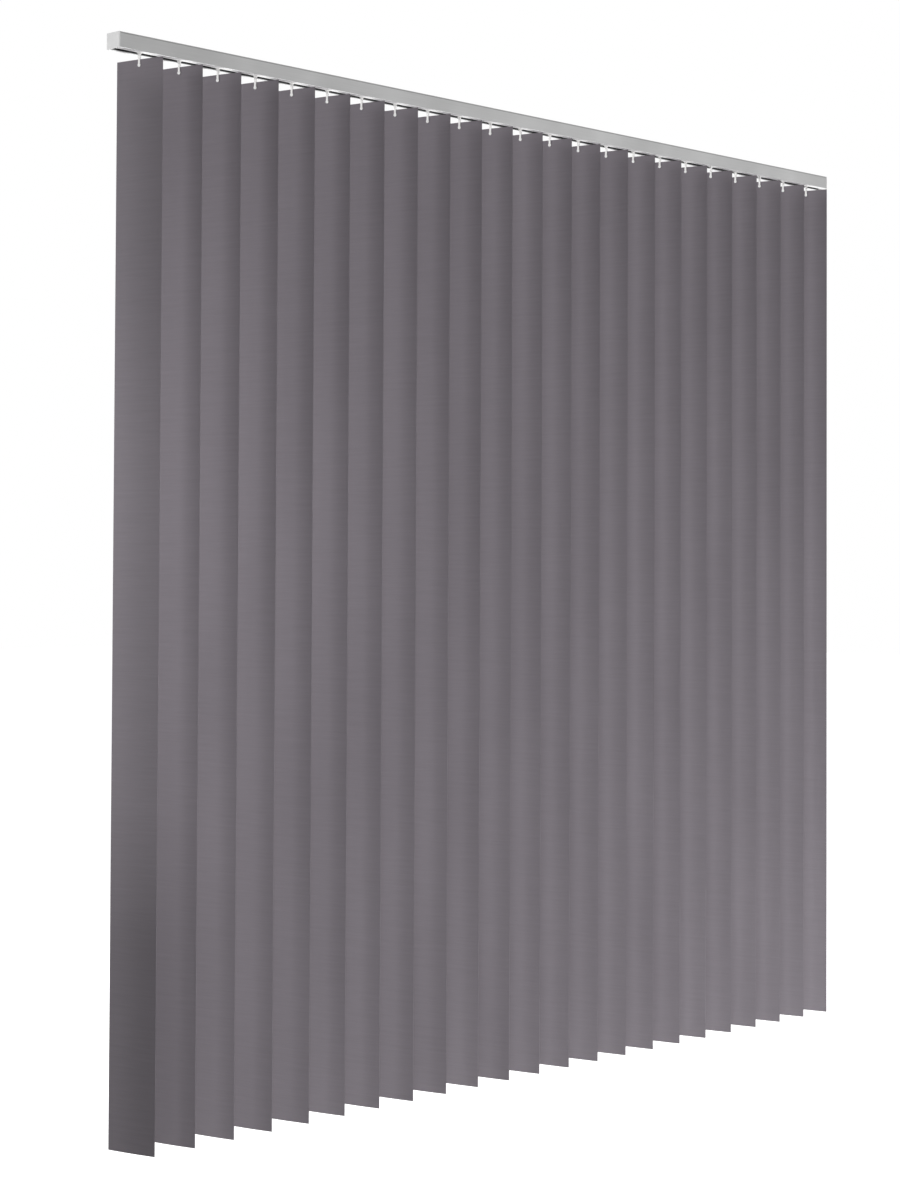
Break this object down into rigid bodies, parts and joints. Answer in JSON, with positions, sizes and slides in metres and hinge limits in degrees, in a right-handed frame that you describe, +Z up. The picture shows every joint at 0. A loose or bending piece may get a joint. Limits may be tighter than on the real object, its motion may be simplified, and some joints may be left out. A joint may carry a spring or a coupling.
{
  "type": "vertical blind",
  "caption": "Vertical blind: flat fabric vanes on turning stems hang from carriers that roll in a slotted aluminium headrail, tilt together and draw aside to one end.",
  "frame": {"origin": "centre of the headrail's top face, where the blind meets the ceiling", "axes": "+X along the headrail towards the end where the vanes gather, -Y towards the room, +Z up"},
  "size_m": [2.61, 0.1244, 2.4075],
  "materials": {
    "rail_aluminium": "satin anodised extrusion",
    "cap_plastic": "light grey moulded plastic",
    "rod_aluminium": "plain fluted rod",
    "white_plastic": "white moulded plastic",
    "vane_fabric": "stiffened ribbed weave, dark warm grey"
  },
  "bodies": {
    "headrail": {"headrail": "rail_aluminium", "end_cap_left": "cap_plastic", "end_cap_right": "cap_plastic", "carrier_23": "white_plastic"},
    "tilt_rod": {"tilt_rod": "rod_aluminium"},
    "carrier_01": {"carrier_01": "white_plastic"},
    "carrier_02": {"carrier_02": "white_plastic"},
    "carrier_03": {"carrier_03": "white_plastic"},
    "carrier_04": {"carrier_04": "white_plastic"},
    "carrier_05": {"carrier_05": "white_plastic"},
    "carrier_06": {"carrier_06": "white_plastic"},
    "carrier_07": {"carrier_07": "white_plastic"},
    "carrier_08": {"carrier_08": "white_plastic"},
    "carrier_09": {"carrier_09": "white_plastic"},
    "carrier_10": {"carrier_10": "white_plastic"},
    "carrier_11": {"carrier_11": "white_plastic"},
    "carrier_12": {"carrier_12": "white_plastic"},
    "carrier_13": {"carrier_13": "white_plastic"},
    "carrier_14": {"carrier_14": "white_plastic"},
    "carrier_15": {"carrier_15": "white_plastic"},
    "carrier_16": {"carrier_16": "white_plastic"},
    "carrier_17": {"carrier_17": "white_plastic"},
    "carrier_18": {"carrier_18": "white_plastic"},
    "carrier_19": {"carrier_19": "white_plastic"},
    "carrier_20": {"carrier_20": "white_plastic"},
    "carrier_21": {"carrier_21": "white_plastic"},
    "carrier_22": {"carrier_22": "white_plastic"},
    "vane_01": {"vane_01": "vane_fabric"},
    "vane_02": {"vane_02": "vane_fabric"},
    "vane_03": {"vane_03": "vane_fabric"},
    "vane_04": {"vane_04": "vane_fabric"},
    "vane_05": {"vane_05": "vane_fabric"},
    "vane_06": {"vane_06": "vane_fabric"},
    "vane_07": {"vane_07": "vane_fabric"},
    "vane_08": {"vane_08": "vane_fabric"},
    "vane_09": {"vane_09": "vane_fabric"},
    "vane_10": {"vane_10": "vane_fabric"},
    "vane_11": {"vane_11": "vane_fabric"},
    "vane_12": {"vane_12": "vane_fabric"},
    "vane_13": {"vane_13": "vane_fabric"},
    "vane_14": {"vane_14": "vane_fabric"},
    "vane_15": {"vane_15": "vane_fabric"},
    "vane_16": {"vane_16": "vane_fabric"},
    "vane_17": {"vane_17": "vane_fabric"},
    "vane_18": {"vane_18": "vane_fabric"},
    "vane_19": {"vane_19": "vane_fabric"},
    "vane_20": {"vane_20": "vane_fabric"},
    "vane_21": {"vane_21": "vane_fabric"},
    "vane_22": {"vane_22": "vane_fabric"},
    "vane_23": {"vane_23": "vane_fabric"}
  },
  "joints": [
    {"name": "traverse", "type": "slide", "parent": "headrail", "child": "carrier_01", "axis": [1, 0, 0], "range_m": [0, 2.068]},
    {"name": "carrier_02_slide", "type": "slide", "parent": "headrail", "child": "carrier_02", "axis": [1, 0, 0], "range_m": [-0.00001, 1.97401]},
    {"name": "carrier_03_slide", "type": "slide", "parent": "headrail", "child": "carrier_03", "axis": [1, 0, 0], "range_m": [-0.00001, 1.88001]},
    {"name": "carrier_04_slide", "type": "slide", "parent": "headrail", "child": "carrier_04", "axis": [1, 0, 0], "range_m": [-0.00001, 1.78601]},
    {"name": "carrier_05_slide", "type": "slide", "parent": "headrail", "child": "carrier_05", "axis": [1, 0, 0], "range_m": [-0.00001, 1.69201]},
    {"name": "carrier_06_slide", "type": "slide", "parent": "headrail", "child": "carrier_06", "axis": [1, 0, 0], "range_m": [-0.00001, 1.59801]},
    {"name": "carrier_07_slide", "type": "slide", "parent": "headrail", "child": "carrier_07", "axis": [1, 0, 0], "range_m": [-0.00001, 1.50401]},
    {"name": "carrier_08_slide", "type": "slide", "parent": "headrail", "child": "carrier_08", "axis": [1, 0, 0], "range_m": [-0.00001, 1.41001]},
    {"name": "carrier_09_slide", "type": "slide", "parent": "headrail", "child": "carrier_09", "axis": [1, 0, 0], "range_m": [-0.00001, 1.31601]},
    {"name": "carrier_10_slide", "type": "slide", "parent": "headrail", "child": "carrier_10", "axis": [1, 0, 0], "range_m": [-0.00001, 1.22201]},
    {"name": "carrier_11_slide", "type": "slide", "parent": "headrail", "child": "carrier_11", "axis": [1, 0, 0], "range_m": [-0.00001, 1.12801]},
    {"name": "carrier_12_slide", "type": "slide", "parent": "headrail", "child": "carrier_12", "axis": [1, 0, 0], "range_m": [-0.00001, 1.03401]},
    {"name": "carrier_13_slide", "type": "slide", "parent": "headrail", "child": "carrier_13", "axis": [1, 0, 0], "range_m": [-0.00001, 0.94001]},
    {"name": "carrier_14_slide", "type": "slide", "parent": "headrail", "child": "carrier_14", "axis": [1, 0, 0], "range_m": [-0.00001, 0.84601]},
    {"name": "carrier_15_slide", "type": "slide", "parent": "headrail", "child": "carrier_15", "axis": [1, 0, 0], "range_m": [-0.00001, 0.75201]},
    {"name": "carrier_16_slide", "type": "slide", "parent": "headrail", "child": "carrier_16", "axis": [1, 0, 0], "range_m": [-0.00001, 0.65801]},
    {"name": "carrier_17_slide", "type": "slide", "parent": "headrail", "child": "carrier_17", "axis": [1, 0, 0], "range_m": [-0.00001, 0.56401]},
    {"name": "carrier_18_slide", "type": "slide", "parent": "headrail", "child": "carrier_18", "axis": [1, 0, 0], "range_m": [-0.00001, 0.47001]},
    {"name": "carrier_19_slide", "type": "slide", "parent": "headrail", "child": "carrier_19", "axis": [1, 0, 0], "range_m": [-0.00001, 0.37601]},
    {"name": "carrier_20_slide", "type": "slide", "parent": "headrail", "child": "carrier_20", "axis": [1, 0, 0], "range_m": [-0.00001, 0.28201]},
    {"name": "carrier_21_slide", "type": "slide", "parent": "headrail", "child": "carrier_21", "axis": [1, 0, 0], "range_m": [-0.00001, 0.18801]},
    {"name": "carrier_22_slide", "type": "slide", "parent": "headrail", "child": "carrier_22", "axis": [1, 0, 0], "range_m": [-0.00001, 0.09401]},
    {"name": "tilt", "type": "hinge", "parent": "carrier_01", "child": "vane_01", "pos_m": [-1.232, 0, -0.04], "axis": [0, 0, -1], "range_deg": [-68, 92]},
    {"name": "vane_02_turn", "type": "hinge", "parent": "carrier_02", "child": "vane_02", "pos_m": [-1.12, 0, -0.04], "axis": [0, 0, -1], "range_deg": [-68, 92]},
    {"name": "vane_03_turn", "type": "hinge", "parent": "carrier_03", "child": "vane_03", "pos_m": [-1.008, 0, -0.04], "axis": [0, 0, -1], "range_deg": [-68, 92]},
    {"name": "vane_04_turn", "type": "hinge", "parent": "carrier_04", "child": "vane_04", "pos_m": [-0.896, 0, -0.04], "axis": [0, 0, -1], "range_deg": [-68, 92]},
    {"name": "vane_05_turn", "type": "hinge", "parent": "carrier_05", "child": "vane_05", "pos_m": [-0.784, 0, -0.04], "axis": [0, 0, -1], "range_deg": [-68, 92]},
    {"name": "vane_06_turn", "type": "hinge", "parent": "carrier_06", "child": "vane_06", "pos_m": [-0.672, 0, -0.04], "axis": [0, 0, -1], "range_deg": [-68, 92]},
    {"name": "vane_07_turn", "type": "hinge", "parent": "carrier_07", "child": "vane_07", "pos_m": [-0.56, 0, -0.04], "axis": [0, 0, -1], "range_deg": [-68, 92]},
    {"name": "vane_08_turn", "type": "hinge", "parent": "carrier_08", "child": "vane_08", "pos_m": [-0.448, 0, -0.04], "axis": [0, 0, -1], "range_deg": [-68, 92]},
    {"name": "vane_09_turn", "type": "hinge", "parent": "carrier_09", "child": "vane_09", "pos_m": [-0.336, 0, -0.04], "axis": [0, 0, -1], "range_deg": [-68, 92]},
    {"name": "vane_10_turn", "type": "hinge", "parent": "carrier_10", "child": "vane_10", "pos_m": [-0.224, 0, -0.04], "axis": [0, 0, -1], "range_deg": [-68, 92]},
    {"name": "vane_11_turn", "type": "hinge", "parent": "carrier_11", "child": "vane_11", "pos_m": [-0.112, 0, -0.04], "axis": [0, 0, -1], "range_deg": [-68, 92]},
    {"name": "vane_12_turn", "type": "hinge", "parent": "carrier_12", "child": "vane_12", "pos_m": [0, 0, -0.04], "axis": [0, 0, -1], "range_deg": [-68, 92]},
    {"name": "vane_13_turn", "type": "hinge", "parent": "carrier_13", "child": "vane_13", "pos_m": [0.112, 0, -0.04], "axis": [0, 0, -1], "range_deg": [-68, 92]},
    {"name": "vane_14_turn", "type": "hinge", "parent": "carrier_14", "child": "vane_14", "pos_m": [0.224, 0, -0.04], "axis": [0, 0, -1], "range_deg": [-68, 92]},
    {"name": "vane_15_turn", "type": "hinge", "parent": "carrier_15", "child": "vane_15", "pos_m": [0.336, 0, -0.04], "axis": [0, 0, -1], "range_deg": [-68, 92]},
    {"name": "vane_16_turn", "type": "hinge", "parent": "carrier_16", "child": "vane_16", "pos_m": [0.448, 0, -0.04], "axis": [0, 0, -1], "range_deg": [-68, 92]},
    {"name": "vane_17_turn", "type": "hinge", "parent": "carrier_17", "child": "vane_17", "pos_m": [0.56, 0, -0.04], "axis": [0, 0, -1], "range_deg": [-68, 92]},
    {"name": "vane_18_turn", "type": "hinge", "parent": "carrier_18", "child": "vane_18", "pos_m": [0.672, 0, -0.04], "axis": [0, 0, -1], "range_deg": [-68, 92]},
    {"name": "vane_19_turn", "type": "hinge", "parent": "carrier_19", "child": "vane_19", "pos_m": [0.784, 0, -0.04], "axis": [0, 0, -1], "range_deg": [-68, 92]},
    {"name": "vane_20_turn", "type": "hinge", "parent": "carrier_20", "child": "vane_20", "pos_m": [0.896, 0, -0.04], "axis": [0, 0, -1], "range_deg": [-68, 92]},
    {"name": "vane_21_turn", "type": "hinge", "parent": "carrier_21", "child": "vane_21", "pos_m": [1.008, 0, -0.04], "axis": [0, 0, -1], "range_deg": [-68, 92]},
    {"name": "vane_22_turn", "type": "hinge", "parent": "carrier_22", "child": "vane_22", "pos_m": [1.12, 0, -0.04], "axis": [0, 0, -1], "range_deg": [-68, 92]},
    {"name": "vane_23_turn", "type": "hinge", "parent": "headrail", "child": "vane_23", "pos_m": [1.232, 0, -0.04], "axis": [0, 0, -1], "range_deg": [-68, 92]},
    {"name": "rod_turn", "type": "hinge", "parent": "headrail", "child": "tilt_rod", "pos_m": [0, 0.0096, -0.018], "axis": [1, 0, 0], "range_deg": [-817, 1105]}
  ],
  "couplings": [
    {"joint": "carrier_02_slide", "follows": "traverse", "ratio": 0.95455},
    {"joint": "carrier_03_slide", "follows": "traverse", "ratio": 0.90909},
    {"joint": "carrier_04_slide", "follows": "traverse", "ratio": 0.86364},
    {"joint": "carrier_05_slide", "follows": "traverse", "ratio": 0.81818},
    {"joint": "carrier_06_slide", "follows": "traverse", "ratio": 0.77273},
    {"joint": "carrier_07_slide", "follows": "traverse", "ratio": 0.72727},
    {"joint": "carrier_08_slide", "follows": "traverse", "ratio": 0.68182},
    {"joint": "carrier_09_slide", "follows": "traverse", "ratio": 0.63636},
    {"joint": "carrier_10_slide", "follows": "traverse", "ratio": 0.59091},
    {"joint": "carrier_11_slide", "follows": "traverse", "ratio": 0.54545},
    {"joint": "carrier_12_slide", "follows": "traverse", "ratio": 0.5},
    {"joint": "carrier_13_slide", "follows": "traverse", "ratio": 0.45455},
    {"joint": "carrier_14_slide", "follows": "traverse", "ratio": 0.40909},
    {"joint": "carrier_15_slide", "follows": "traverse", "ratio": 0.36364},
    {"joint": "carrier_16_slide", "follows": "traverse", "ratio": 0.31818},
    {"joint": "carrier_17_slide", "follows": "traverse", "ratio": 0.27273},
    {"joint": "carrier_18_slide", "follows": "traverse", "ratio": 0.22727},
    {"joint": "carrier_19_slide", "follows": "traverse", "ratio": 0.18182},
    {"joint": "carrier_20_slide", "follows": "traverse", "ratio": 0.13636},
    {"joint": "carrier_21_slide", "follows": "traverse", "ratio": 0.090909},
    {"joint": "carrier_22_slide", "follows": "traverse", "ratio": 0.045455},
    {"joint": "vane_02_turn", "follows": "tilt", "ratio": 1},
    {"joint": "vane_03_turn", "follows": "tilt", "ratio": 1},
    {"joint": "vane_04_turn", "follows": "tilt", "ratio": 1},
    {"joint": "vane_05_turn", "follows": "tilt", "ratio": 1},
    {"joint": "vane_06_turn", "follows": "tilt", "ratio": 1},
    {"joint": "vane_07_turn", "follows": "tilt", "ratio": 1},
    {"joint": "vane_08_turn", "follows": "tilt", "ratio": 1},
    {"joint": "vane_09_turn", "follows": "tilt", "ratio": 1},
    {"joint": "vane_10_turn", "follows": "tilt", "ratio": 1},
    {"joint": "vane_11_turn", "follows": "tilt", "ratio": 1},
    {"joint": "vane_12_turn", "follows": "tilt", "ratio": 1},
    {"joint": "vane_13_turn", "follows": "tilt", "ratio": 1},
    {"joint": "vane_14_turn", "follows": "tilt", "ratio": 1},
    {"joint": "vane_15_turn", "follows": "tilt", "ratio": 1},
    {"joint": "vane_16_turn", "follows": "tilt", "ratio": 1},
    {"joint": "vane_17_turn", "follows": "tilt", "ratio": 1},
    {"joint": "vane_18_turn", "follows": "tilt", "ratio": 1},
    {"joint": "vane_19_turn", "follows": "tilt", "ratio": 1},
    {"joint": "vane_20_turn", "follows": "tilt", "ratio": 1},
    {"joint": "vane_21_turn", "follows": "tilt", "ratio": 1},
    {"joint": "vane_22_turn", "follows": "tilt", "ratio": 1},
    {"joint": "vane_23_turn", "follows": "tilt", "ratio": 1},
    {"joint": "rod_turn", "follows": "tilt", "ratio": 12}
  ]
}
